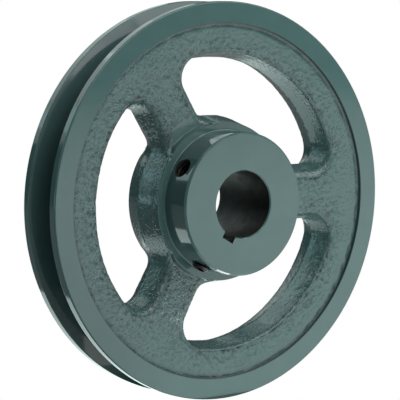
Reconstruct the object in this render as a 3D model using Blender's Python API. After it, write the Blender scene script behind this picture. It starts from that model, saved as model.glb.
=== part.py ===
"""A fixed-bore V-belt pulley: a one-piece iron casting and its two socket set screws.

The shaft axis is Y and the hub projects toward -Y.  +Z is up.  The origin is on
the shaft axis, at the middle of the belt groove.  Lengths are in metres.
"""
import math

import bmesh
import bpy
from mathutils import Matrix, Vector

INCH = 0.0254
MM = 0.001

# Machined sizes
OUTSIDE_DIAMETER = 5.25 * INCH
FACE_WIDTH = 0.75 * INCH
CORNER_CHAMFER = 0.6 * MM
GROOVE_TOP_WIDTH = 0.494 * INCH
GROOVE_ANGLE = math.radians(34.0)
GROOVE_DEPTH = 12.0 * MM
BORE_DIAMETER = 0.875 * INCH
BORE_CHAMFER = 0.4 * MM
KEYWAY_WIDTH = 0.1875 * INCH
KEYWAY_FLOOR_RADIUS = 0.5265 * INCH
KEYWAY_ANGLE = math.radians(240.0)
HUB_DIAMETER = 1.875 * INCH
HUB_FRONT = 19.8 * MM
HUB_LENGTH = 1.125 * INCH
HUB_CHAMFER = 0.6 * MM
SHOULDER_Y = 8.4 * MM
SHOULDER_FILLET = 0.5 * MM

# Cast sizes, given at the parting plane Y = 0 where the draft starts
MACHINED_RIM_RADIUS = 59.6 * MM
WEB_Y_AT_RIM = 8.4 * MM
WEB_Y_AT_HUB = 6.5 * MM
BOSS_RADIUS = 28.4 * MM
RIM_INNER_RADIUS = 48.2 * MM
SPOKE_ANGLES = tuple(math.radians(angle) for angle in (0.7, 121.2, 239.5))
SPOKE_HALF_WIDTH = 9.6 * MM
RIM_CORNER_RADIUS = 5.5 * MM
HUB_CORNER_RADIUS = 6.0 * MM
DRAFT = math.radians(12.0)
EDGE_ROUNDING = 2.5 * MM
FLANK_DRAFT = math.radians(18.0)
FLANK_ROUNDING = 3.5 * MM
MEAN_WEB_Y = (WEB_Y_AT_RIM + WEB_Y_AT_HUB) / 2.0

# Socket set screws, 1/4 inch
SCREW_DIAMETER = 5.9 * MM
SCREW_LENGTH = 0.25 * INCH
SCREW_Y = -13.2 * MM
KEY_SCREW_ANGLE = KEYWAY_ANGLE - math.radians(2.0)
KEY_SCREW_RECESS = -1.0 * MM
SIDE_SCREW_ANGLE = KEY_SCREW_ANGLE - math.pi / 2.0
SIDE_SCREW_RECESS = 2.4 * MM
TAPPED_HOLE_DIAMETER = 6.5 * MM
SOCKET_WIDTH = 0.125 * INCH
SOCKET_DEPTH = 3.0 * MM
SCREW_END_CHAMFER = 0.5 * MM
CUP_DIAMETER = 3.3 * MM
CUP_DEPTH = 0.7 * MM

# How finely the curves are cut
LATHE_SEGMENTS = 96
SCREW_SEGMENTS = 24
BOSS_ARC_STEPS = 7
HUB_CORNER_STEPS = 4
RIM_CORNER_STEPS = 6
RIM_ARC_STEPS = 9
ROUNDING_STEPS = 4
SMOOTH_BELOW = math.radians(35.0)
CUTTER_MARGIN = 2.0 * MM


def clear_scene():
    for item in list(bpy.data.objects):
        bpy.data.objects.remove(item, do_unlink=True)


def make_material(name, colour, roughness, metallic):
    material = bpy.data.materials.new(name)
    material.use_nodes = True
    shader = material.node_tree.nodes["Principled BSDF"]
    shader.inputs["Base Color"].default_value = (*colour, 1.0)
    shader.inputs["Roughness"].default_value = roughness
    shader.inputs["Metallic"].default_value = metallic
    return material


def make_object(name, bm, material=None, smooth_below=None):
    bmesh.ops.recalc_face_normals(bm, faces=bm.faces)
    mesh = bpy.data.meshes.new(name)
    bm.to_mesh(mesh)
    bm.free()
    if material:
        mesh.materials.append(material)
    if smooth_below:
        mesh.shade_smooth()
        mesh.set_sharp_from_angle(angle=smooth_below)
    item = bpy.data.objects.new(name, mesh)
    bpy.context.scene.collection.objects.link(item)
    return item


def bridge(bm, rings, closed):
    """Join rings of vertices, one after the other, with quads."""
    count = len(rings)
    last = count if closed else count - 1
    for index in range(last):
        lower = rings[index]
        upper = rings[(index + 1) % count]
        for side in range(len(lower)):
            after = (side + 1) % len(lower)
            bm.faces.new((lower[side], lower[after], upper[after], upper[side]))


def lathe_ring(bm, radius, height, segments):
    """One circle of vertices about the Y axis."""
    ring = []
    for step in range(segments):
        angle = 2.0 * math.pi * step / segments
        ring.append(bm.verts.new((radius * math.cos(angle), height, radius * math.sin(angle))))
    return ring


def use_as_cutter(target, cutter):
    cutter.hide_render = True
    cutter.display_type = "WIRE"
    modifier = target.modifiers.new(cutter.name, "BOOLEAN")
    modifier.operation = "DIFFERENCE"
    modifier.solver = "EXACT"
    modifier.object = cutter


def radial_placement(angle, radius):
    """Local Z points away from the shaft axis, at an angle from +X toward +Z."""
    outward = Vector((math.cos(angle), 0.0, math.sin(angle)))
    along = Vector((0.0, 1.0, 0.0))
    sideways = along.cross(outward)
    rotation = Matrix((sideways, along, outward)).transposed().to_4x4()
    place = outward * radius + Vector((0.0, SCREW_Y, 0.0))
    return Matrix.Translation(place) @ rotation


def hub_profile():
    """(radius, y) from the bore's front end round the hub to the foot of its shoulder."""
    bore = BORE_DIAMETER / 2.0
    hub = HUB_DIAMETER / 2.0
    boss_at_shoulder = boss_radius_at(SHOULDER_Y)
    return [
        (bore, -HUB_FRONT + BORE_CHAMFER),
        (bore + BORE_CHAMFER, -HUB_FRONT),
        (hub - HUB_CHAMFER, -HUB_FRONT),
        (hub, -HUB_FRONT + HUB_CHAMFER),
        (hub, -SHOULDER_Y - SHOULDER_FILLET),
        (hub + SHOULDER_FILLET, -SHOULDER_Y),
        (boss_at_shoulder, -SHOULDER_Y),
        (boss_at_shoulder + (SHOULDER_Y - WEB_Y_AT_HUB) / 2.0, -WEB_Y_AT_HUB),
    ]


def half_rim_profile():
    """(radius, y) of one side of the rim, from the web's edge to the groove's bottom."""
    outside = OUTSIDE_DIAMETER / 2.0
    half_face = FACE_WIDTH / 2.0
    half_top = GROOVE_TOP_WIDTH / 2.0
    half_bottom = half_top - GROOVE_DEPTH * math.tan(GROOVE_ANGLE / 2.0)
    return [
        (MACHINED_RIM_RADIUS, WEB_Y_AT_RIM),
        (MACHINED_RIM_RADIUS, half_face),
        (outside - CORNER_CHAMFER, half_face),
        (outside, half_face - CORNER_CHAMFER),
        (outside, half_top),
        (outside - GROOVE_DEPTH, half_bottom),
    ]


def hub_back_profile():
    """(radius, y) from the web's back to the bore's back end."""
    bore = BORE_DIAMETER / 2.0
    hub_back = HUB_LENGTH - HUB_FRONT
    boss_at_back = boss_radius_at(hub_back)
    return [
        (boss_at_back + (hub_back - WEB_Y_AT_HUB) / 2.0, WEB_Y_AT_HUB),
        (boss_at_back, hub_back),
        (bore + BORE_CHAMFER, hub_back),
        (bore, hub_back - BORE_CHAMFER),
    ]


def casting_profile():
    rim = half_rim_profile()
    front_rim = [(radius, -height) for radius, height in rim]
    return hub_profile() + front_rim + rim[::-1] + hub_back_profile()


def arc(centre, radius, start, end, steps):
    """Points from one angle to another, both included."""
    points = []
    for step in range(steps + 1):
        angle = start + (end - start) * step / steps
        points.append((centre[0] + radius * math.cos(angle), centre[1] + radius * math.sin(angle)))
    return points


def boss_radius_at(height):
    """The boss tapers by the draft angle, away from the parting plane, up to its machined faces."""
    return BOSS_RADIUS - min(abs(height), FACE_WIDTH / 2.0) * math.tan(DRAFT)


def wall_growth(height, draft, rounding):
    """How far a drafted wall with a rounded top edge has moved back at a height."""
    start = MEAN_WEB_Y - rounding
    if abs(height) <= start:
        return abs(height) * math.tan(draft)
    rise = min(1.0, (abs(height) - start) / rounding + math.sin(draft))
    return start * math.tan(draft) + rounding * (math.cos(draft) - math.sqrt(1.0 - rise * rise))


def window_outline(height, half_span):
    """One window in the plane Y = height, centred on +X, between two spokes half_span away.

    The outline runs over the hub boss, a fillet, a spoke's flank, a fillet and
    the rim, and mirrors.
    """
    rim_growth = wall_growth(height, DRAFT, EDGE_ROUNDING)
    flank_growth = wall_growth(height, FLANK_DRAFT, FLANK_ROUNDING)
    corner_growth = (rim_growth + flank_growth) / 2.0
    inner = boss_radius_at(height)
    outer = RIM_INNER_RADIUS + rim_growth
    flank = SPOKE_HALF_WIDTH - flank_growth
    hub_corner = HUB_CORNER_RADIUS + corner_growth
    rim_corner = RIM_CORNER_RADIUS + corner_growth

    def corner_centre(reach, offset):
        angle = half_span - math.asin(offset / reach)
        return reach * math.cos(angle), reach * math.sin(angle), angle

    x_in, z_in, inner_angle = corner_centre(inner + hub_corner, flank + hub_corner)
    x_out, z_out, outer_angle = corner_centre(outer - rim_corner, flank + rim_corner)
    at_flank = half_span + math.pi / 2.0
    half = arc((0.0, 0.0), inner, 0.0, inner_angle, BOSS_ARC_STEPS)
    half += arc((x_in, z_in), hub_corner, inner_angle + math.pi, at_flank, HUB_CORNER_STEPS)
    half += arc((x_out, z_out), rim_corner, at_flank, outer_angle, RIM_CORNER_STEPS)
    half += arc((0.0, 0.0), outer, outer_angle, 0.0, RIM_ARC_STEPS)[1:]
    mirrored = [(x, -z) for x, z in half[-2:0:-1]]
    return half + mirrored


def window_heights():
    """From one side's clearance through the parting plane to the other's."""
    rounding_start = MEAN_WEB_Y - FLANK_ROUNDING
    rounding_end = MEAN_WEB_Y - EDGE_ROUNDING * math.sin(DRAFT)
    one_side = []
    for step in range(ROUNDING_STEPS + 1):
        share = step / ROUNDING_STEPS
        one_side.append(rounding_start + (rounding_end - rounding_start) * share)
    one_side.append(FACE_WIDTH / 2.0 + CUTTER_MARGIN)
    return [-height for height in reversed(one_side)] + [0.0] + one_side


def make_window_cutter(index):
    before = SPOKE_ANGLES[index]
    after = SPOKE_ANGLES[(index + 1) % len(SPOKE_ANGLES)]
    if after < before:
        after += 2.0 * math.pi
    spin = Matrix.Rotation(-(before + after) / 2.0, 4, "Y")
    bm = bmesh.new()
    rings = []
    for height in window_heights():
        outline = window_outline(height, (after - before) / 2.0)
        rings.append([bm.verts.new(spin @ Vector((x, height, z))) for x, z in outline])
    bridge(bm, rings, closed=False)
    bm.faces.new(rings[0])
    bm.faces.new(rings[-1])
    return make_object("cut_window_%d" % (index + 1), bm)


def make_keyway_cutter():
    bm = bmesh.new()
    bmesh.ops.create_cube(bm, size=1.0)
    length = HUB_LENGTH + 2.0 * CUTTER_MARGIN
    size = (KEYWAY_FLOOR_RADIUS, length, KEYWAY_WIDTH)
    bmesh.ops.scale(bm, vec=size, verts=bm.verts)
    middle_y = HUB_LENGTH / 2.0 - HUB_FRONT
    bmesh.ops.translate(bm, vec=(KEYWAY_FLOOR_RADIUS / 2.0, middle_y, 0.0), verts=bm.verts)
    bmesh.ops.rotate(bm, matrix=Matrix.Rotation(-KEYWAY_ANGLE, 3, "Y"), verts=bm.verts)
    return make_object("cut_keyway", bm)


def make_tapped_hole_cutter(name, angle):
    """A cylinder from inside the bore to outside the hub barrel."""
    start = BORE_DIAMETER / 4.0
    end = HUB_DIAMETER / 2.0 + CUTTER_MARGIN
    bm = bmesh.new()
    radius = TAPPED_HOLE_DIAMETER / 2.0
    bmesh.ops.create_cone(
        bm, cap_ends=True, segments=SCREW_SEGMENTS, radius1=radius, radius2=radius, depth=end - start
    )
    bmesh.ops.transform(bm, matrix=radial_placement(angle, (start + end) / 2.0), verts=bm.verts)
    return make_object(name, bm)


def make_casting(paint):
    bm = bmesh.new()
    rings = [lathe_ring(bm, radius, height, LATHE_SEGMENTS) for radius, height in casting_profile()]
    bridge(bm, rings, closed=True)
    casting = make_object("pulley_casting", bm, paint, smooth_below=SMOOTH_BELOW)
    for index in range(len(SPOKE_ANGLES)):
        use_as_cutter(casting, make_window_cutter(index))
    use_as_cutter(casting, make_keyway_cutter())
    use_as_cutter(casting, make_tapped_hole_cutter("cut_hole_over_key", KEY_SCREW_ANGLE))
    use_as_cutter(casting, make_tapped_hole_cutter("cut_side_hole", SIDE_SCREW_ANGLE))
    return casting


def screw_outline():
    """(radius, height) from the cup point's rim to the socket end, about local Z."""
    radius = SCREW_DIAMETER / 2.0
    half = SCREW_LENGTH / 2.0
    return [
        (CUP_DIAMETER / 2.0, -half),
        (radius, -half + radius - CUP_DIAMETER / 2.0),
        (radius, half - SCREW_END_CHAMFER),
        (radius - SCREW_END_CHAMFER, half),
    ]


def make_set_screw(name, angle, recess, steel):
    """Headless screw on local Z: cup point toward the shaft, hexagon socket outward.

    A negative recess leaves its socket end standing out of the hub.
    """
    bm = bmesh.new()
    rings = []
    for radius, height in screw_outline():
        ring = []
        for step in range(SCREW_SEGMENTS):
            turn = 2.0 * math.pi * step / SCREW_SEGMENTS
            ring.append(bm.verts.new((radius * math.cos(turn), radius * math.sin(turn), height)))
        rings.append(ring)
    bridge(bm, rings, closed=False)
    cup = bm.verts.new((0.0, 0.0, -SCREW_LENGTH / 2.0 + CUP_DEPTH))
    for side in range(SCREW_SEGMENTS):
        bm.faces.new((rings[0][side], rings[0][(side + 1) % SCREW_SEGMENTS], cup))
    bm.faces.new(rings[-1])
    screw = make_object(name, bm, steel, smooth_below=SMOOTH_BELOW)
    centre_radius = HUB_DIAMETER / 2.0 - recess - SCREW_LENGTH / 2.0
    screw.matrix_world = radial_placement(angle, centre_radius)
    socket = make_socket_cutter(name)
    socket.matrix_world = screw.matrix_world @ socket.matrix_world
    use_as_cutter(screw, socket)
    return screw


def make_socket_cutter(screw_name):
    bm = bmesh.new()
    radius = SOCKET_WIDTH / math.sqrt(3.0)
    depth = SOCKET_DEPTH + CUTTER_MARGIN
    bmesh.ops.create_cone(bm, cap_ends=True, segments=6, radius1=radius, radius2=radius, depth=depth)
    floor = SCREW_LENGTH / 2.0 - SOCKET_DEPTH
    bmesh.ops.translate(bm, vec=(0.0, 0.0, floor + depth / 2.0), verts=bm.verts)
    return make_object("cut_socket_" + screw_name, bm)


def build():
    clear_scene()
    paint = make_material("enamel_on_cast_iron", (0.13, 0.20, 0.19), 0.3, 0.0)
    steel = make_material("black_oxide_steel", (0.02, 0.02, 0.022), 0.4, 0.8)
    make_casting(paint)
    make_set_screw("set_screw_over_key", KEY_SCREW_ANGLE, KEY_SCREW_RECESS, steel)
    make_set_screw("set_screw_side", SIDE_SCREW_ANGLE, SIDE_SCREW_RECESS, steel)


build()
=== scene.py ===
"""The looks of a cast-iron V-belt pulley: its fine surface, its set screws and a studio.

The casting is one closed mesh.  Its machined faces are turned profiles, its sand-cast
web and spokes are triangulated sheets, and its three windows have lofted walls.  It is
welded from these, then roughened where the iron was cast.  Lengths are in metres.
"""

import math

import bmesh
import bpy
import numpy as np
from mathutils import Matrix, Vector, kdtree, noise
from mathutils.geometry import delaunay_2d_cdt


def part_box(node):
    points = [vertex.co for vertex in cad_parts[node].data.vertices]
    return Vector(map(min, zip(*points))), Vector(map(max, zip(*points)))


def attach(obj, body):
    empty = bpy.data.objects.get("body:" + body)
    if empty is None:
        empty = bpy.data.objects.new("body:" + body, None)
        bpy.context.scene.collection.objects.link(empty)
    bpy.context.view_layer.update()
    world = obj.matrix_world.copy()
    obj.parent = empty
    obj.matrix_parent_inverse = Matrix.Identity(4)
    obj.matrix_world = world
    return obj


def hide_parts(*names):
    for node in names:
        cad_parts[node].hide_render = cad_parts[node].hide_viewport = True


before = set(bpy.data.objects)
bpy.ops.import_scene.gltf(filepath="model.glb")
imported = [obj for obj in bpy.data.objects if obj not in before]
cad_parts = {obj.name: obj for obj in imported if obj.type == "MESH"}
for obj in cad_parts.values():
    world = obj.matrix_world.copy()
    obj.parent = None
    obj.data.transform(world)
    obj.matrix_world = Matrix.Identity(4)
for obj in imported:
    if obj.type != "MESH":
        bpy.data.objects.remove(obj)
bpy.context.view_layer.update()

MM = 0.001
CASTING = "pulley_casting"
SCREWS = ("set_screw_over_key", "set_screw_side")
SCREW_BODIES = ("key_screw", "side_screw")

# Machined sizes that the frame gives
casting_low, casting_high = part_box(CASTING)
OUTSIDE = casting_high.x
HALF_FACE = casting_high.y
HUB_FRONT = -casting_low.y

# Machined sizes, as in the CAD part
HUB_RADIUS = 23.8125 * MM
HUB_BACK = 8.775 * MM
HUB_CHAMFER = 0.6 * MM
BORE_RADIUS = 11.1125 * MM
BORE_CHAMFER = 0.4 * MM
KEYWAY_WIDTH = 4.7625 * MM
KEYWAY_FLOOR = 13.373 * MM
KEYWAY_ANGLE = math.radians(240.0)
GROOVE_HALF_TOP = 6.274 * MM
GROOVE_HALF_BOTTOM = 2.605 * MM
GROOVE_BOTTOM = 54.675 * MM
SHOULDER = 8.4 * MM
STEP_RADIUS = 59.6 * MM

# Cast sizes, as in the CAD part, from the parting plane
WEB_AT_RIM = 8.4 * MM
WEB_AT_HUB = 6.5 * MM
BOSS_RADIUS = 28.4 * MM
RIM_INNER = 48.2 * MM
SPOKE_ANGLES = [math.radians(angle) for angle in (0.7, 121.2, 239.5)]
SPOKE_HALF_WIDTH = 9.6 * MM
HUB_CORNER = 6.0 * MM
RIM_CORNER = 5.5 * MM
DRAFT = math.radians(12.0)
FLANK_DRAFT = math.radians(18.0)
RIM_ROUNDINGS = (1.3 * MM, 2.5 * MM)
FLANK_ROUNDING = 3.5 * MM
BOSS_ROUNDING = 0.22 * MM

# Where the turned and the cast patches meet
INNER_SEAM = 25.2 * MM
OUTER_SEAM = 59.35 * MM
INNER_SEGMENTS = 192
OUTER_SEGMENTS = 288

# Fineness of the cast surfaces
FRONT_SPACING = 0.50 * MM
BACK_SPACING = 1.00 * MM
WALL_SPACING = 0.58 * MM

# Quarter-inch set screws
PITCH = 1.27 * MM
SCREW_CREST = 2.78 * MM
SCREW_ROOT = 2.36 * MM
SCREW_LENGTH = 6.35 * MM
SOCKET_ACROSS_FLATS = 3.175 * MM
SOCKET_DEPTH = 3.0 * MM
HOLE_CREST = 2.90 * MM
HOLE_ROOT = 3.22 * MM
COUNTERSINK = 0.40 * MM


def screw_place(node):
    """The angle round the shaft, the y and the distance from the axis of a CAD screw's middle."""
    low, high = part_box(node)
    middle = (low + high) / 2.0
    return math.atan2(middle.z, middle.x), middle.y, math.hypot(middle.x, middle.z)


SCREW_PLACES = [screw_place(node) for node in SCREWS]


def smoothstep(low, high, value):
    """0 at low rising to 1 at high; low may be the greater."""
    share = np.clip((np.asarray(value, float) - low) / (high - low), 0.0, 1.0)
    return share * share * (3.0 - 2.0 * share)


def mix(a, b, share):
    return a + (b - a) * share


# ---------------------------------------------------------------- turned profiles


def rounded(corners, support=0.16 * MM, turn=math.radians(14.0)):
    """A polyline (radius, y) with its corners (radius, y, fillet) rounded.

    A point is added beside each fillet, so that smooth shading stays near it.
    """
    line = [np.array(corners[0][:2])]
    for before, corner, after in zip(corners, corners[1:], corners[2:]):
        here = np.array(corner[:2])
        into = here - np.array(before[:2])
        out = np.array(after[:2]) - here
        into /= np.linalg.norm(into)
        out /= np.linalg.norm(out)
        angle = math.acos(np.clip(into @ out, -1.0, 1.0))
        reach = corner[2] * math.tan(angle / 2.0)
        first = here - into * reach
        last = here + out * reach
        side = np.array((-into[1], into[0]))
        if side @ out < 0.0:
            side = -side
        centre = first + side * corner[2]
        steps = max(2, math.ceil(angle / turn))
        if np.linalg.norm(first - line[-1]) > 2.5 * support:
            line.append(first - into * support)
        for step in range(steps + 1):
            part = angle * step / steps
            line.append(centre + corner[2] * (math.sin(part) * into - math.cos(part) * side))
        if np.linalg.norm(np.array(after[:2]) - last) > 3.0 * support:
            line.append(last + out * support)
    line.append(np.array(corners[-1][:2]))
    return line


def ring_points(radius, y, segments):
    angles = np.arange(segments) * 2.0 * math.pi / segments
    x = radius * np.cos(angles)
    z = radius * np.sin(angles)
    return np.stack([x, np.full(segments, y), z], axis=1)


def grid_faces(rows, columns, closed_rows=False):
    """Quads of a grid whose columns wrap round."""
    faces = []
    for row in range(rows if closed_rows else rows - 1):
        start = row * columns
        above = ((row + 1) % rows) * columns
        for column in range(columns):
            after = (column + 1) % columns
            faces.append((start + column, start + after, above + after, above + column))
    return faces


def lathe(profile, segments, closed=False):
    points = np.concatenate([ring_points(radius, y, segments) for radius, y in profile])
    return points, grid_faces(len(profile), segments, closed)


def rim_profile():
    front = [
        (OUTER_SEAM, -WEB_AT_RIM, 0.0),
        (STEP_RADIUS, -WEB_AT_RIM, 0.18 * MM),
        (STEP_RADIUS, -HALF_FACE, 0.16 * MM),
        (OUTSIDE, -HALF_FACE, 0.5 * MM),
        (OUTSIDE, -GROOVE_HALF_TOP, 0.4 * MM),
        (GROOVE_BOTTOM, -GROOVE_HALF_BOTTOM, 0.6 * MM),
    ]
    back = [(radius, -y, fillet) for radius, y, fillet in reversed(front)]
    return rounded(front + back)


def hub_profile():
    return rounded([
        (INNER_SEAM, -SHOULDER, 0.0),
        (HUB_RADIUS, -SHOULDER, 0.5 * MM),
        (HUB_RADIUS, -HUB_FRONT + HUB_CHAMFER, 0.25 * MM),
        (HUB_RADIUS - HUB_CHAMFER, -HUB_FRONT, 0.25 * MM),
        (BORE_RADIUS + BORE_CHAMFER, -HUB_FRONT, 0.12 * MM),
        (BORE_RADIUS, -HUB_FRONT + BORE_CHAMFER, 0.12 * MM),
        (BORE_RADIUS, HUB_BACK - BORE_CHAMFER, 0.12 * MM),
        (BORE_RADIUS + BORE_CHAMFER, HUB_BACK, 0.12 * MM),
        (INNER_SEAM, HUB_BACK, 0.0),
    ])


# ---------------------------------------------------------------- hub with its holes


def radial_matrix(angle, y):
    """Local Z points out of the hub at an angle from +X toward +Z."""
    outward = Vector((math.cos(angle), 0.0, math.sin(angle)))
    along = Vector((0.0, 1.0, 0.0))
    sideways = along.cross(outward)
    turned = Matrix((sideways, along, outward)).transposed().to_4x4()
    return Matrix.Translation((0.0, y, 0.0)) @ turned


def thread_radius(height, turn, root, crest):
    """A 60 degree thread's radius: flat crests and roots with straight flanks between."""
    phase = (height / PITCH - turn / (2.0 * math.pi)) % 1.0
    slope = abs(phase - 0.5) * 2.0
    return mix(root, crest, min(1.0, max(0.0, (slope - 0.2) / 0.55)))


def rings_mesh(rings):
    """Vertices and faces from rings of equal length, with a fan over each end."""
    points = [point for ring in rings for point in ring]
    columns = len(rings[0])
    faces = grid_faces(len(rings), columns)
    faces.append(tuple(range(columns)))
    faces.append(tuple(range(len(points) - columns, len(points))))
    return points, faces


def mesh_object(name, points, faces, matrix=Matrix.Identity(4)):
    bm = bmesh.new()
    verts = [bm.verts.new(matrix @ Vector(point)) for point in points]
    for face in faces:
        bm.faces.new([verts[index] for index in face])
    bmesh.ops.recalc_face_normals(bm, faces=bm.faces)
    mesh = bpy.data.meshes.new(name)
    bm.to_mesh(mesh)
    bm.free()
    item = bpy.data.objects.new(name, mesh)
    bpy.context.scene.collection.objects.link(item)
    return item


def tapped_hole_cutter(angle, y):
    """A threaded plug with a countersunk mouth, from inside the bore to outside the barrel."""
    segments = 32
    start = BORE_RADIUS * 0.6
    end = HUB_RADIUS + 1.2 * MM
    levels = np.arange(start, end, PITCH / 7.0)
    rings = []
    for height in levels:
        mouth = HOLE_ROOT + max(0.0, height - (HUB_RADIUS - COUNTERSINK))
        ring = []
        for step in range(segments):
            turn = 2.0 * math.pi * step / segments
            radius = thread_radius(height, turn, HOLE_ROOT, HOLE_CREST)
            if height > HUB_RADIUS - COUNTERSINK:
                radius = mouth
            ring.append((radius * math.cos(turn), radius * math.sin(turn), height))
        rings.append(ring)
    points, faces = rings_mesh(rings)
    return mesh_object("hole_cutter", points, faces, radial_matrix(angle, y))


def keyway_cutter(angle):
    half = KEYWAY_WIDTH / 2.0
    margin = 3.0 * MM
    across = (-half, half)
    along = (-HUB_FRONT - margin, HUB_BACK + margin)
    outward = (BORE_RADIUS * 0.5, KEYWAY_FLOOR)
    points = [(x, y, z) for x in across for y in along for z in outward]
    faces = [(0, 1, 3, 2), (4, 5, 7, 6), (0, 1, 5, 4), (2, 3, 7, 6), (0, 2, 6, 4), (1, 3, 7, 5)]
    return mesh_object("keyway_cutter", points, faces, radial_matrix(angle, 0.0))


def hub_patch():
    """The turned hub as a closed ring, cut by the keyway and the holes, then opened again."""
    points, faces = lathe(hub_profile(), INNER_SEGMENTS, closed=True)
    hub = mesh_object("hub", points, faces)
    cutters = [keyway_cutter(KEYWAY_ANGLE)]
    for angle, y, _ in SCREW_PLACES:
        cutters.append(tapped_hole_cutter(angle, y))
    for cutter in cutters:
        modifier = hub.modifiers.new(cutter.name, "BOOLEAN")
        modifier.operation = "DIFFERENCE"
        modifier.solver = "EXACT"
        modifier.object = cutter
    evaluated = hub.evaluated_get(bpy.context.evaluated_depsgraph_get()).to_mesh()
    co = np.array([vertex.co for vertex in evaluated.vertices], float)
    seam = np.hypot(co[:, 0], co[:, 2]) > INNER_SEAM - 0.01 * MM
    faces = [tuple(face.vertices) for face in evaluated.polygons]
    kept = [face for face in faces if not all(seam[list(face)])]
    for item in (hub, *cutters):
        bpy.data.objects.remove(item)
    return co, kept


# ---------------------------------------------------------------- windows


def web_height(radius, shoulder):
    """Distance of the web's surface from the parting plane: shoulder, wall, then a shallow cone."""
    cone = mix(WEB_AT_HUB, WEB_AT_RIM, (radius - BOSS_RADIUS) / (STEP_RADIUS - BOSS_RADIUS))
    edge = boss_radius(SHOULDER)
    wall = smoothstep(edge - 0.02 * MM, edge + 0.62 * MM, radius)
    return mix(shoulder, cone, 1.0 - (1.0 - wall) ** 1.6)


def boss_radius(height):
    return BOSS_RADIUS - abs(height) * math.tan(DRAFT)


def arc(centre, radius, start, end, spacing):
    steps = max(4, math.ceil(abs(end - start) * radius / spacing))
    angles = np.linspace(start, end, steps + 1)[:-1]
    return [(centre[0] + radius * math.cos(a), centre[1] + radius * math.sin(a)) for a in angles]


def half_window(half_span):
    """Half of a window's outline at the parting plane, centred on +X.

    Returns points, their directions into the iron, and a station: 0 to 1 over the boss,
    to 2 round the hub corner, to 3 along the flank, to 4 round the rim corner, to 5 on the rim.
    """
    def corner(reach, offset):
        angle = half_span - math.asin(offset / reach)
        return reach * math.cos(angle), reach * math.sin(angle), angle

    hub_x, hub_z, inner_angle = corner(BOSS_RADIUS + HUB_CORNER, SPOKE_HALF_WIDTH + HUB_CORNER)
    rim_x, rim_z, outer_angle = corner(RIM_INNER - RIM_CORNER, SPOKE_HALF_WIDTH + RIM_CORNER)
    at_flank = half_span + math.pi / 2.0
    boss = arc((0.0, 0.0), BOSS_RADIUS, 0.0, inner_angle, WALL_SPACING)
    hub_corner = arc((hub_x, hub_z), HUB_CORNER, inner_angle + math.pi, at_flank, WALL_SPACING)
    rim_corner = arc((rim_x, rim_z), RIM_CORNER, at_flank, outer_angle, WALL_SPACING)
    rim = arc((0.0, 0.0), RIM_INNER, outer_angle, 0.0, WALL_SPACING)
    toward_spoke = (math.cos(at_flank), math.sin(at_flank))
    flank_start = np.array((hub_x, hub_z)) + HUB_CORNER * np.array(toward_spoke)
    flank_end = np.array(rim_corner[0])
    steps = max(3, round(np.linalg.norm(flank_end - flank_start) / WALL_SPACING))
    flank = [tuple(mix(flank_start, flank_end, step / steps)) for step in range(steps)]
    points = []
    inward = []
    station = []
    parts = (boss, hub_corner, flank, rim_corner, rim)
    for number, part in enumerate(parts):
        for index, (x, z) in enumerate(part):
            points.append((x, z))
            station.append(number + index / len(part))
            if number == 0:
                inward.append((-x / BOSS_RADIUS, -z / BOSS_RADIUS))
            elif number == 1:
                inward.append(((x - hub_x) / HUB_CORNER, (z - hub_z) / HUB_CORNER))
            elif number == 2:
                inward.append(toward_spoke)
            elif number == 3:
                inward.append(((x - rim_x) / RIM_CORNER, (z - rim_z) / RIM_CORNER))
            else:
                inward.append((x / RIM_INNER, z / RIM_INNER))
    return np.array(points), np.array(inward), np.array(station)


def window_outline(index):
    """A whole window's outline, turned to its place between two spokes."""
    before = SPOKE_ANGLES[index]
    after = SPOKE_ANGLES[(index + 1) % len(SPOKE_ANGLES)]
    if after < before:
        after += 2.0 * math.pi
    points, inward, station = half_window((after - before) / 2.0)
    end = np.array([[RIM_INNER, 0.0]])
    points = np.concatenate([points, end, points[:0:-1] * (1.0, -1.0)])
    inward = np.concatenate([inward, [[1.0, 0.0]], inward[:0:-1] * (1.0, -1.0)])
    station = np.concatenate([station, [5.0], station[:0:-1]])
    middle = (before + after) / 2.0
    turn = np.array(((math.cos(middle), math.sin(middle)), (-math.sin(middle), math.cos(middle))))
    return points @ turn, inward @ turn, station


# Heights of a wall's rows above the parting plane, as shares, closest at the parting line
WALL_LEVELS = (*np.linspace(1.0, 0.2, 8)[1:], 0.165, 0.13, 0.1, 0.07, 0.045, 0.02)


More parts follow.
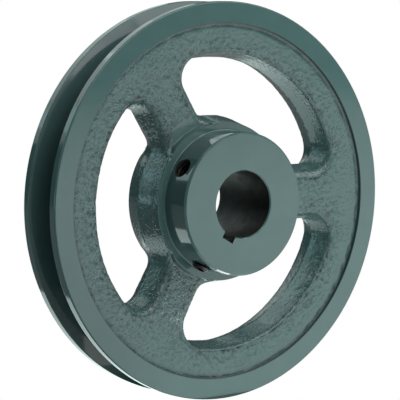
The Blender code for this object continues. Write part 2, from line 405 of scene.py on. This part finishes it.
def window_wall(index):
    """Rows of points from the front face's edge through the parting plane to the back's."""
    points, inward, station = window_outline(index)
    flank_share = smoothstep(1.0, 1.75, station) * (1.0 - smoothstep(3.0, 4.0, station))
    past_boss = smoothstep(1.05, 1.75, station)
    draft = mix(DRAFT, FLANK_DRAFT, flank_share)
    rows = []
    for side, shoulder, at_rim in zip((-1.0, 1.0), (SHOULDER, HUB_BACK), RIM_ROUNDINGS):
        rounding = mix(BOSS_ROUNDING, mix(at_rim, FLANK_ROUNDING, flank_share), past_boss)
        top = np.full(len(points), shoulder)
        for _ in range(3):
            start = top - rounding * (1.0 - np.sin(draft))
            full = start * np.tan(draft) + rounding * np.cos(draft)
            edge = points + inward * full[:, None]
            on_web = web_height(np.maximum(np.hypot(edge[:, 0], edge[:, 1]), BOSS_RADIUS), shoulder)
            top = mix(shoulder, on_web, smoothstep(1.1, 1.5, station))
        start = top - rounding * (1.0 - np.sin(draft))
        half = []
        for part in np.linspace(1.0, 0.0, 7):
            angle = mix(draft, math.pi / 2.0, part)
            height = start + rounding * (np.sin(angle) - np.sin(draft))
            growth = start * np.tan(draft) + rounding * (np.cos(draft) - np.cos(angle))
            half.append((height, growth))
        for part in WALL_LEVELS:
            height = start * part
            half.append((height, height * np.tan(draft)))
        for height, growth in half:
            place = points + inward * growth[:, None]
            rows.append(np.stack([place[:, 0], side * height, place[:, 1]], axis=1))
        if side < 0.0:
            parting = np.stack([points[:, 0], np.zeros(len(points)), points[:, 1]], axis=1)
            front_rows = rows + [parting]
            rows = []
    rows = front_rows + rows[::-1]
    add_parting_ridge(rows, inward)
    from_front = np.linalg.norm(np.array(rows) - rows[0], axis=2)
    from_back = np.linalg.norm(np.array(rows) - rows[-1], axis=2)
    cast = smoothstep(0.0, 0.8 * MM, np.minimum(from_front, from_back))
    cast = mix(cast, 1.0, past_boss[None, :])
    return rows, cast


def add_parting_ridge(rows, inward):
    """A ground-off flash line where the two halves of the mould met, with a step behind it.

    Distances along the shaft and heights are in millimetres here.
    """
    for row in rows:
        for index, point in enumerate(row):
            wander = noise.noise(Vector(point) * 260.0)
            along = point[1] / MM - 0.5 - 0.5 * wander
            ridge = math.exp(-((along / 0.22) ** 2)) * (0.24 + 0.25 * wander)
            behind = float(smoothstep(0.1, 0.5, along))
            faded = 1.0 - float(smoothstep(1.5, 5.0, along))
            lift = (ridge - 0.16 * behind * faded) * MM
            row[index, 0] -= inward[index, 0] * lift
            row[index, 2] -= inward[index, 1] * lift


# ---------------------------------------------------------------- web sheets


def inside_polygon(points, polygon):
    x, z = points[:, 0], points[:, 1]
    inside = np.zeros(len(points), bool)
    ends = np.roll(polygon, -1, axis=0)
    for (x0, z0), (x1, z1) in zip(polygon, ends):
        if z0 == z1:
            continue
        crosses = (z0 > z) != (z1 > z)
        inside ^= crosses & (x < (x1 - x0) * (z - z0) / (z1 - z0) + x0)
    return inside


def hex_grid(spacing, reach):
    rows = int(reach / (spacing * 0.866)) + 1
    points = []
    for row in range(-rows, rows + 1):
        shift = 0.5 * spacing * (row % 2)
        columns = np.arange(-int(reach / spacing) - 1, int(reach / spacing) + 2) * spacing + shift
        points.append(np.stack([columns, np.full(len(columns), row * spacing * 0.866)], axis=1))
    return np.concatenate(points)


# Circles of points about the shoulder's edge, where the web's sheet turns sharply
SHOULDER_CIRCLES = [
    offset * MM for offset in (-0.85, -0.35, -0.10, 0.02, 0.10, 0.20, 0.32, 0.46, 0.64, 0.90, 1.25)
]
SHOULDER_SEGMENTS = 420

# A turning tool skimmed the foot of one spoke here: degrees round the shaft, then radii
SKIMMED_ANGLES = (109.0, 112.0, 133.0, 136.0)
SKIMMED_RADII = (31.2 * MM, 32.2 * MM)


def web_patch(side, spacing, edges):
    """The cast web on one side, between the two seams and round the windows' edges."""
    shoulder = SHOULDER if side < 0.0 else HUB_BACK
    outer = ring_points(OUTER_SEAM, 0.0, OUTER_SEGMENTS)[:, (0, 2)]
    inner = ring_points(INNER_SEAM, 0.0, INNER_SEGMENTS)[:, (0, 2)]
    loops = [outer, inner] + [edge[:, (0, 2)] for edge in edges]
    boundary = np.concatenate(loops)
    near = kdtree.KDTree(len(boundary))
    for index, (x, z) in enumerate(boundary):
        near.insert((x, z, 0.0), index)
    near.balance()

    edge = boss_radius(SHOULDER)
    grid = hex_grid(spacing, OUTER_SEAM)
    radius = np.hypot(grid[:, 0], grid[:, 1])
    grid = grid[(radius > edge + 1.6 * MM) & (radius < OUTER_SEAM - 0.4 * spacing)]
    circles = []
    for offset in SHOULDER_CIRCLES:
        circles.append(ring_points(edge + offset, 0.0, SHOULDER_SEGMENTS)[:, (0, 2)])
    free = np.concatenate([grid] + circles)
    for window in loops[2:]:
        free = free[~inside_polygon(free, window)]
    clearance = np.array([near.find((x, z, 0.0))[2] for x, z in free])
    band = np.hypot(free[:, 0], free[:, 1]) < edge + 1.3 * MM
    free = free[clearance > np.where(band, 0.09 * MM, 0.62 * spacing)]

    points = np.concatenate([boundary, free]) / MM
    constraints = []
    first = 0
    for loop in loops:
        count = len(loop)
        constraints += [(first + index, first + (index + 1) % count) for index in range(count)]
        first += count
    found, _, faces, _, _, _ = delaunay_2d_cdt(
        [Vector(point) for point in points], constraints, [], 0, 1e-5
    )
    plan = np.array(found, float) * MM
    faces = np.array(faces)
    centre = plan[faces].mean(axis=1)
    centre_radius = np.hypot(centre[:, 0], centre[:, 1])
    keep = (centre_radius > INNER_SEAM * 0.9998) & (centre_radius < OUTER_SEAM)
    for window in loops[2:]:
        keep &= ~inside_polygon(centre, window)
    faces = faces[keep]

    radius = np.hypot(plan[:, 0], plan[:, 1])
    height = web_height(radius, shoulder)
    height = np.where(radius < edge - 0.03 * MM, shoulder, height)
    height = blend_to_edges(plan, height, edges, radius)
    fixed = np.concatenate([np.full(len(outer), WEB_AT_RIM), np.full(len(inner), shoulder)])
    height[: len(fixed)] = fixed
    count = len(fixed)
    for window in edges:
        height[count : count + len(window)] = np.abs(window[:, 1])
        count += len(window)
    points = np.stack([plan[:, 0], side * height, plan[:, 1]], axis=1)
    turn = np.degrees(np.arctan2(plan[:, 1], plan[:, 0]))
    start, smooth_from, smooth_to, end = SKIMMED_ANGLES
    skimmed = smoothstep(start, smooth_from, turn) * smoothstep(end, smooth_to, turn)
    skimmed = skimmed * smoothstep(SKIMMED_RADII[1], SKIMMED_RADII[0], radius) * (side < 0.0)
    inside_rim = smoothstep(0.0, 0.3 * MM, OUTER_SEAM - radius)
    past_shoulder = smoothstep(edge + 0.1 * MM, edge + 0.8 * MM, radius)
    cast = (1.0 - 0.9 * skimmed) * inside_rim * past_shoulder
    return points, [tuple(face) for face in faces], cast


def blend_to_edges(plan, height, edges, radius):
    """Near a window the sheet takes the height of the window's own edge."""
    tops = np.concatenate(edges)
    tree = kdtree.KDTree(len(tops))
    for index, (x, y, z) in enumerate(tops):
        tree.insert((x, z, 0.0), index)
    tree.balance()
    blended = height.copy()
    for index, (x, z) in enumerate(plan):
        _, nearest, distance = tree.find((x, z, 0.0))
        if distance < 1.2 * MM and radius[index] > boss_radius(SHOULDER) + 0.8 * MM:
            share = float(smoothstep(0.0, 1.2 * MM, distance))
            blended[index] = mix(abs(tops[nearest][1]), height[index], share)
    return blended


# ---------------------------------------------------------------- casting


def spoke_distance(x, z):
    """The angle from a place to the middle of the nearest spoke."""
    angle = math.atan2(z, x)
    return min(abs(math.remainder(angle - spoke, 2.0 * math.pi)) for spoke in SPOKE_ANGLES)


def flow_place(point):
    """Where the skin's pattern is read: squeezed round the shaft so that it runs along the rim."""
    radius = math.hypot(point.x, point.z)
    off_spoke = smoothstep(math.radians(16.0), math.radians(34.0), spoke_distance(point.x, point.z))
    squeeze = float(off_spoke * smoothstep(38.0 * MM, 48.0 * MM, radius)) * 10.0 * MM
    share = (radius - squeeze) / radius
    return Vector((point.x * share, point.y, point.z * share))


# The cast skin's heights in millimetres, and how often its patterns repeat in each metre
WAVE_HEIGHT, WAVE_RATE = 0.10, 95.0
LUMP_HEIGHT, LUMP_RATE = 0.07, 620.0
PIT_DEPTH, PIT_RATE = 0.10, 900.0
TRENCH_DEPTH, TRENCH_RATE = 0.16, 330.0


def cast_relief(place, roughness, at_step, at_edge):
    """Height of the sand-cast skin, and how much painted shade darkens its pits, step line and
    creases.
    """
    waves = WAVE_HEIGHT * noise.noise(place * WAVE_RATE)
    lumps = noise.noise(place * LUMP_RATE + Vector((3.1, 7.7, 1.3)))
    pits = noise.noise(place * PIT_RATE + Vector((9.2, 4.4, 6.5)))
    sunk = roughness * min(1.0, max(0.0, (pits - 0.02) / 0.34))
    wander = noise.noise(place * TRENCH_RATE + Vector((5.5, 2.2, 8.1)))
    ragged = at_step * max(0.0, 0.75 + 1.0 * wander)
    height = waves + LUMP_HEIGHT * roughness * lumps - PIT_DEPTH * sunk - TRENCH_DEPTH * ragged
    # Painted shade: the pits, the step line and the creases along the windows' edges are darkened
    # in colour, standing in for their shadow.
    crease = at_edge * max(0.0, 0.4 + 1.6 * lumps)
    return height * MM, min(0.9, 0.55 * sunk + 0.45 * ragged + 0.7 * crease)


def build_casting():
    bm = bmesh.new()
    cast_layer = bm.verts.layers.float.new("cast")
    rough_layer = bm.verts.layers.float.new("rough")
    flow_layer = bm.verts.layers.float_vector.new("flow")
    painted_shade_layer = bm.verts.layers.float.new("shade")
    keyway_shade_layer = bm.verts.layers.float.new("keyway")

    def add(points, faces, cast):
        verts = []
        for point, value in zip(points, cast):
            vertex = bm.verts.new(point)
            vertex[cast_layer] = value
            verts.append(vertex)
        return [bm.faces.new([verts[index] for index in face]) for face in faces]

    front_edges = []
    back_edges = []
    for index in range(len(SPOKE_ANGLES)):
        rows, cast = window_wall(index)
        front_edges.append(rows[0])
        back_edges.append(rows[-1])
        add(np.concatenate(rows), grid_faces(len(rows), len(rows[0])), cast.ravel())
    add(*web_patch(-1.0, FRONT_SPACING, front_edges))
    add(*web_patch(1.0, BACK_SPACING, back_edges))
    points, faces = lathe(rim_profile(), OUTER_SEGMENTS)
    for face in add(points, faces, np.zeros(len(points))):
        for vertex in face.verts:
            depth = OUTSIDE - math.hypot(vertex.co.x, vertex.co.z)
            in_groove = abs(vertex.co.y) < GROOVE_HALF_TOP - 0.1 * MM
            in_step = depth > OUTSIDE - OUTER_SEAM - 0.5 * MM
            # Painted shade: darker toward the groove's bottom, and a fixed painted shade inside the
            # step's radius, on the step ring and deep in the groove.
            groove_shade = 0.5 * float(smoothstep(0.0, 4.0 * MM, depth)) if in_groove else 0.0
            vertex[painted_shade_layer] = 0.55 if in_step else groove_shade
    points, faces = hub_patch()
    for face in add(points, faces, np.zeros(len(points))):
        face.material_index = hub_material(face.calc_center_median())
        for vertex in face.verts:
            reach = math.hypot(vertex.co.x, vertex.co.z)
            # Painted shade: the keyway's walls are marked for darkening in the bare iron's colour.
            in_keyway = face.material_index == BARE and reach > BORE_RADIUS + 0.4 * MM
            vertex[keyway_shade_layer] = max(vertex[keyway_shade_layer], float(in_keyway))
    bmesh.ops.remove_doubles(bm, verts=bm.verts, dist=0.002 * MM)
    bmesh.ops.recalc_face_normals(bm, faces=bm.faces)
    layers = (cast_layer, rough_layer, flow_layer, painted_shade_layer)
    roughen(bm, layers, np.concatenate(front_edges + back_edges))
    mesh = bpy.data.meshes.new("casting_finish")
    bm.to_mesh(mesh)
    bm.free()
    mesh.shade_smooth()
    mesh.set_sharp_from_angle(angle=math.radians(48.0))
    return mesh


def roughen(bm, layers, edges):
    """Moves the cast vertices along their normals, most near the windows' edges and on the left.

    It also marks how rough each vertex is and how much painted shade darkens it, for the enamel.
    """
    cast_layer, rough_layer, flow_layer, painted_shade_layer = layers
    tree = kdtree.KDTree(len(edges))
    for index, point in enumerate(edges):
        tree.insert(point, index)
    tree.balance()
    bm.normal_update()
    moves = []
    for vertex in bm.verts:
        place = flow_place(vertex.co)
        vertex[flow_layer] = place
        cast = vertex[cast_layer]
        if cast <= 0.0:
            continue
        radius = math.hypot(vertex.co.x, vertex.co.z)
        distance = tree.find(vertex.co)[2]
        near_edge = math.exp(-((distance / (4.0 * MM)) ** 2))
        past_boss = float(smoothstep(29.0 * MM, 35.0 * MM, radius))
        left = float(smoothstep(-0.2, 0.9, -vertex.co.x / radius))
        drift = 0.5 + 0.5 * noise.noise(vertex.co * 60.0)
        nearness = max(near_edge, 0.5 - 0.5 * past_boss)
        rough = min(1.0, 0.16 + 0.6 * nearness + 0.35 * left) * (0.6 + 0.8 * drift)
        on_wall = mix(0.42, 1.10, past_boss)
        rough *= mix(on_wall, 1.0, float(smoothstep(0.35, 0.9, abs(vertex.normal.y))))
        vertex[rough_layer] = rough
        at_step = math.exp(-(((radius - OUTER_SEAM + 0.45 * MM) / (0.55 * MM)) ** 2))
        at_edge = math.exp(-((distance / (0.55 * MM)) ** 2)) * past_boss
        height, shade = cast_relief(place, rough, at_step, at_edge)
        # Painted shade for the enamel's colour, over the skin's pits, step line and creases.
        vertex[painted_shade_layer] = cast * shade
        moves.append((vertex, vertex.normal * cast * height))
    for vertex, move in moves:
        vertex.co += move


ENAMEL, BARE, THREAD = range(3)


def hub_material(centre):
    """Bare metal in the bore and keyway, tapped metal in the screw holes, enamel elsewhere."""
    radius = math.hypot(centre.x, centre.z)
    if centre.y < -HUB_FRONT + 0.02 * MM or centre.y > HUB_BACK - 0.02 * MM:
        return ENAMEL
    if radius < BORE_RADIUS + 0.02 * MM:
        return BARE
    for angle, y, _ in SCREW_PLACES:
        outward = Vector((math.cos(angle), 0.0, math.sin(angle)))
        offset = centre - Vector((0.0, y, 0.0))
        reach = offset.dot(outward)
        in_hole = (offset - outward * reach).length < HOLE_ROOT + COUNTERSINK
        if reach > 0.0 and in_hole and radius < HUB_RADIUS - 0.02 * MM:
            return THREAD
    in_keyway = BORE_RADIUS + BORE_CHAMFER < radius < KEYWAY_FLOOR + 0.6 * MM
    return BARE if in_keyway else ENAMEL


# ---------------------------------------------------------------- set screws


def hexagon_radius(turn):
    to_flat = (turn + math.pi / 6.0) % (math.pi / 3.0) - math.pi / 6.0
    return SOCKET_ACROSS_FLATS / 2.0 / math.cos(math.pi / 6.0 - abs(to_flat))


def screw_mesh():
    """A headless screw on local Z: cup point below, hexagon socket above."""
    segments = 48
    turns = [2.0 * math.pi * step / segments for step in range(segments)]
    half = SCREW_LENGTH / 2.0

    def ring(height, radius_at):
        return [(radius_at(t) * math.cos(t), radius_at(t) * math.sin(t), height) for t in turns]

    def thread(height):
        limit = SCREW_ROOT - 0.15 * MM + (half - abs(height)) * 1.1
        return ring(height, lambda t: min(limit, thread_radius(height, t, SCREW_ROOT, SCREW_CREST)))

    rings = [
        ring(-half + 0.75 * MM, lambda t: 0.05 * MM),
        ring(-half + 0.02 * MM, lambda t: 1.52 * MM),
        ring(-half, lambda t: 1.60 * MM),
        ring(-half + 0.05 * MM, lambda t: 1.72 * MM),
    ]
    for height in np.arange(-half + 0.5 * MM, half - 0.02 * MM, PITCH / 9.0):
        rings.append(thread(height))
    rings += [
        ring(half, lambda t: SCREW_ROOT - 0.25 * MM),
        ring(half, lambda t: mix(SCREW_ROOT - 0.25 * MM, hexagon_radius(t) + 0.16 * MM, 0.7)),
        ring(half - 0.01 * MM, lambda t: hexagon_radius(t) + 0.12 * MM),
        ring(half - 0.12 * MM, lambda t: hexagon_radius(t) + 0.01 * MM),
        ring(half - 0.25 * MM, hexagon_radius),
        ring(half - SOCKET_DEPTH + 0.1 * MM, hexagon_radius),
        ring(half - SOCKET_DEPTH, lambda t: hexagon_radius(t) - 0.08 * MM),
        ring(half - SOCKET_DEPTH - 0.75 * MM, lambda t: 0.05 * MM),
    ]
    return rings_mesh(rings)


def build_screw(node, place, steel):
    angle, y, reach = place
    points, faces = screw_mesh()
    matrix = radial_matrix(angle, y) @ Matrix.Translation((0.0, 0.0, reach))
    screw = mesh_object(node + "_detail", points, faces, matrix)
    screw.data.shade_smooth()
    screw.data.set_sharp_from_angle(angle=math.radians(38.0))
    screw.data.materials.append(steel)
    return screw


# ---------------------------------------------------------------- materials


class Nodes:
    """Short calls for a material's node tree."""

    def __init__(self, name):
        self.material = bpy.data.materials.new(name)
        self.material.use_nodes = True
        self.tree = self.material.node_tree
        self.shader = self.tree.nodes["Principled BSDF"]
        self.place = self.add("ShaderNodeTexCoord").outputs["Object"]

    def add(self, kind, **settings):
        node = self.tree.nodes.new(kind)
        for key, value in settings.items():
            if key in node.inputs:
                node.inputs[key].default_value = value
            else:
                setattr(node, key, value)
        return node

    def link(self, source, target):
        self.tree.links.new(source, target)

    def noise(self, scale, detail=2.0, roughness=0.5):
        node = self.add("ShaderNodeTexNoise", Scale=scale, Detail=detail, Roughness=roughness)
        self.link(self.place, node.inputs["Vector"])
        return node.outputs["Fac"]

    def attribute(self, name):
        return self.add("ShaderNodeAttribute", attribute_name=name).outputs["Fac"]

    def math(self, operation, a, b):
        node = self.add("ShaderNodeMath", operation=operation)
        for socket, value in zip(node.inputs, (a, b)):
            if isinstance(value, (int, float)):
                socket.default_value = value
            else:
                self.link(value, socket)
        return node.outputs["Value"]

    def remap(self, value, low, high, to_low, to_high):
        node = self.add("ShaderNodeMapRange")
        node.inputs["From Min"].default_value = low
        node.inputs["From Max"].default_value = high
        node.inputs["To Min"].default_value = to_low
        node.inputs["To Max"].default_value = to_high
        self.link(value, node.inputs["Value"])
        return node.outputs["Result"]

    def colours(self, factor, dark, light):
        node = self.add("ShaderNodeMix", data_type="RGBA")
        node.inputs[6].default_value = (*dark, 1.0)
        node.inputs[7].default_value = (*light, 1.0)
        self.link(factor, node.inputs[0])
        return node.outputs[2]

    def darkened(self, colour, attribute, dark):
        """A colour that turns dark where a vertex attribute says so."""
        node = self.add("ShaderNodeMix", data_type="RGBA")
        self.link(self.attribute(attribute), node.inputs[0])
        self.link(colour, node.inputs[6])
        node.inputs[7].default_value = (*dark, 1.0)
        return node.outputs[2]

    def bump(self, height, distance, strength=1.0, after=None):
        node = self.add("ShaderNodeBump", Distance=distance)
        if isinstance(strength, (int, float)):
            node.inputs["Strength"].default_value = strength
        else:
            self.link(strength, node.inputs["Strength"])
        self.link(height, node.inputs["Height"])
        if after:
            self.link(after, node.inputs["Normal"])
        return node.outputs["Normal"]


def enamel():
    """Grey-green gloss enamel, smooth on machined faces and dimpled over the cast skin."""
    n = Nodes("grey_green_enamel")
    n.place = n.add("ShaderNodeAttribute", attribute_name="flow").outputs["Vector"]
    cast = n.attribute("cast")
    rough = n.attribute("rough")
    tone = n.remap(n.noise(120.0, 3.0), 0.3, 0.7, 0.0, 1.0)
    coat = n.colours(tone, (0.059, 0.124, 0.119), (0.066, 0.134, 0.128))
    # Painted shade: the coat turns dark where the 'shade' attribute marks the groove, pits, step
    # line and creases.
    coat = n.darkened(coat, "shade", (0.006, 0.014, 0.015))
    n.link(coat, n.shader.inputs["Base Color"])
    gloss = n.remap(n.noise(700.0, 3.0), 0.3, 0.7, 0.07, 0.11)
    n.link(n.math("ADD", gloss, n.math("MULTIPLY", cast, 0.04)), n.shader.inputs["Roughness"])
    amount = n.math("MULTIPLY", cast, n.remap(rough, 0.1, 0.8, 0.06, 0.8))
    peel = n.bump(n.noise(1200.0, 2.0, 0.5), 0.00012, amount)
    pits = n.remap(n.noise(1050.0, 1.0, 0.5), 0.52, 0.66, 1.0, 0.0)
    pitted = n.bump(pits, 0.00016, amount, peel)
    n.link(pitted, n.shader.inputs["Normal"])
    n.shader.inputs["IOR"].default_value = 1.5
    return n.material


def bare_iron():
    """The reamed bore and keyway: dark iron with a brown bloom, and painted shade on the keyway's
    walls.
    """
    n = Nodes("bare_dark_iron")
    bloom = n.remap(n.noise(260.0, 4.0, 0.6), 0.35, 0.7, 0.0, 1.0)
    iron = n.colours(bloom, (0.006, 0.010, 0.008), (0.022, 0.024, 0.019))
    # Painted shade: the keyway's walls are darkened, standing in for the shadow inside it.
    iron = n.darkened(iron, "keyway", (0.002, 0.005, 0.004))
    n.link(iron, n.shader.inputs["Base Color"])
    n.link(n.remap(n.noise(420.0, 3.0), 0.3, 0.7, 0.40, 0.55), n.shader.inputs["Roughness"])
    n.link(n.bump(n.noise(1800.0, 2.0), 0.00004, 0.6), n.shader.inputs["Normal"])
    n.shader.inputs["Specular IOR Level"].default_value = 0.12
    return n.material


def tapped_iron():
    n = Nodes("tapped_iron")
    iron = n.colours(n.noise(500.0, 3.0), (0.012, 0.012, 0.012), (0.04, 0.037, 0.034))
    n.link(iron, n.shader.inputs["Base Color"])
    n.link(n.bump(n.noise(2400.0, 2.0), 0.00004, 0.5), n.shader.inputs["Normal"])
    n.shader.inputs["Roughness"].default_value = 0.5
    n.shader.inputs["Metallic"].default_value = 0.6
    return n.material


def black_oxide():
    n = Nodes("black_oxide_steel")
    steel = n.colours(n.noise(900.0, 3.0), (0.012, 0.012, 0.013), (0.035, 0.033, 0.032))
    n.link(steel, n.shader.inputs["Base Color"])
    n.link(n.remap(n.noise(1600.0, 2.0), 0.3, 0.7, 0.28, 0.45), n.shader.inputs["Roughness"])
    n.link(n.bump(n.noise(3000.0, 2.0), 0.00003, 0.5), n.shader.inputs["Normal"])
    n.shader.inputs["Metallic"].default_value = 0.7
    return n.material


# ---------------------------------------------------------------- studio


CAMERA_DISTANCE = 0.64518
CAMERA_AZIMUTH = -36.327
CAMERA_ELEVATION = 5.952
CAMERA_LENS = 171.85
CAMERA_SHIFT = (-0.0205, -0.00165)


def make_camera():
    back = direction(CAMERA_AZIMUTH, CAMERA_ELEVATION)
    data = bpy.data.cameras.new("camera")
    data.sensor_width = 36.0
    data.lens = CAMERA_LENS
    data.shift_x, data.shift_y = CAMERA_SHIFT
    data.clip_start = 0.01
    camera = bpy.data.objects.new("camera", data)
    camera.location = back * CAMERA_DISTANCE
    camera.rotation_mode = "QUATERNION"
    camera.rotation_quaternion = (-back).to_track_quat("-Z", "Y")
    bpy.context.scene.collection.objects.link(camera)
    bpy.context.scene.camera = camera


def direction(azimuth, elevation):
    """Unit vector from the pulley: azimuth 0 toward -Y and 90 toward +X, in degrees."""
    azimuth = math.radians(azimuth)
    elevation = math.radians(elevation)
    return Vector((
        math.sin(azimuth) * math.cos(elevation),
        -math.cos(azimuth) * math.cos(elevation),
        math.sin(elevation),
    ))


def panel(name, place, facing, size, power, colour=(1.0, 1.0, 1.0), glossy_only=False):
    """A soft rectangular light that the camera never sees."""
    data = bpy.data.lights.new(name, "AREA")
    data.shape = "RECTANGLE"
    data.size, data.size_y = size
    data.energy = power
    data.color = colour
    light = bpy.data.objects.new(name, data)
    light.location = place
    light.rotation_mode = "QUATERNION"
    light.rotation_quaternion = Vector(facing).to_track_quat("-Z", "Y")
    light.visible_camera = False
    light.visible_diffuse = not glossy_only
    bpy.context.scene.collection.objects.link(light)


def card(name, azimuth, elevation, size, power, colour):
    """A panel seen only in reflections, a little nearer than the soft boxes."""
    out = direction(azimuth, elevation) * 0.9
    panel(name, out, -out, size, power, colour, glossy_only=True)


def make_floor():
    size = 6.0
    bm = bmesh.new()
    bmesh.ops.create_grid(bm, x_segments=1, y_segments=1, size=size)
    mesh = bpy.data.meshes.new("floor")
    bm.to_mesh(mesh)
    bm.free()
    floor = bpy.data.objects.new("floor", mesh)
    floor.location.z = casting_low.z
    bpy.context.scene.collection.objects.link(floor)
    n = Nodes("pale_floor")
    n.shader.inputs["Base Color"].default_value = (0.45, 0.45, 0.45, 1.0)
    n.shader.inputs["Roughness"].default_value = 0.9
    n.shader.inputs["Specular IOR Level"].default_value = 0.1
    white = n.add("ShaderNodeEmission", Strength=1.0)
    either = n.add("ShaderNodeMixShader")
    n.link(n.add("ShaderNodeLightPath").outputs["Is Camera Ray"], either.inputs[0])
    n.link(n.shader.outputs["BSDF"], either.inputs[1])
    n.link(white.outputs["Emission"], either.inputs[2])
    n.link(either.outputs["Shader"], n.tree.nodes["Material Output"].inputs["Surface"])
    mesh.materials.append(n.material)


def make_world():
    world = bpy.data.worlds.new("studio")
    world.use_nodes = True
    tree = world.node_tree
    tree.nodes["Background"].inputs["Color"].default_value = (0.06, 0.055, 0.058, 1.0)
    white = tree.nodes.new("ShaderNodeBackground")
    white.inputs["Color"].default_value = (1.0, 1.0, 1.0, 1.0)
    seen = tree.nodes.new("ShaderNodeLightPath")
    either = tree.nodes.new("ShaderNodeMixShader")
    tree.links.new(seen.outputs["Is Camera Ray"], either.inputs[0])
    tree.links.new(tree.nodes["Background"].outputs[0], either.inputs[1])
    tree.links.new(white.outputs[0], either.inputs[2])
    tree.links.new(either.outputs[0], tree.nodes["World Output"].inputs["Surface"])
    bpy.context.scene.world = world


WHITE = (1.0, 1.0, 1.0)
COOL = (0.65, 1.0, 1.05)
PALE = (0.82, 1.0, 0.96)
SOFT_BOX_SIZE = (0.70, 0.70)

# Soft boxes a metre away: azimuth, elevation, watts, colour
SOFT_BOXES = {
    "key": (45.0, 40.0, 4.4, WHITE),
    "front": (0.0, 40.0, 3.4, WHITE),
    "front_low": (0.0, 8.0, 0.8, WHITE),
    "side_low": (90.0, 8.0, 1.6, WHITE),
    "top": (0.0, 80.0, 1.0, WHITE),
    "back": (180.0, 40.0, 0.8, WHITE),
    "back_left": (-135.0, 40.0, 1.4, COOL),
    "back_left_low": (-120.0, 8.0, 0.9, COOL),
}

# Cards that show only in reflections: azimuth, elevation, size, watts, colour
CARDS = {
    "high_card": (-150.0, 58.0, (0.85, 0.62), 2.3, PALE),
    "wall_card": (-122.0, 22.0, (0.24, 0.36), 0.30, COOL),
    "left_card": (-118.0, -1.0, (0.40, 0.14), 0.34, COOL),
    "back_card": (178.0, 31.0, (1.15, 0.43), 1.35, PALE),
}


def make_studio():
    bpy.context.scene.view_settings.view_transform = "Standard"
    make_camera()
    make_floor()
    make_world()
    for name, (azimuth, elevation, power, colour) in SOFT_BOXES.items():
        out = direction(azimuth, elevation)
        panel(name, out, -out, SOFT_BOX_SIZE, power, colour)
    for name, (azimuth, elevation, size, power, colour) in CARDS.items():
        card(name, azimuth, elevation, size, power, colour)
    up = (0.0, 0.0, 1.0)
    table = casting_low.z + 0.001
    panel("table_glow", (0.725, -0.75, table), up, (1.53, 1.48), 8.2)
    panel("table_behind", (0.01, 0.065, table), up, (0.18, 0.12), 0.135, PALE, glossy_only=True)
    under_hub = (-0.0025, -0.0215, -0.0410)
    panel("under_hub", under_hub, up, (0.010, 0.006), 0.0020, glossy_only=True)


# ---------------------------------------------------------------- the pulley


def main():
    make_studio()
    casting = bpy.data.objects.new("pulley_casting_finish", build_casting())
    bpy.context.scene.collection.objects.link(casting)
    for material in (enamel(), bare_iron(), tapped_iron()):
        casting.data.materials.append(material)
    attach(casting, "pulley")
    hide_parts(CASTING)
    steel = black_oxide()
    for node, place, body in zip(SCREWS, SCREW_PLACES, SCREW_BODIES):
        screw = build_screw(node, place, steel)
        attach(screw, body)
        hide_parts(node)


main()
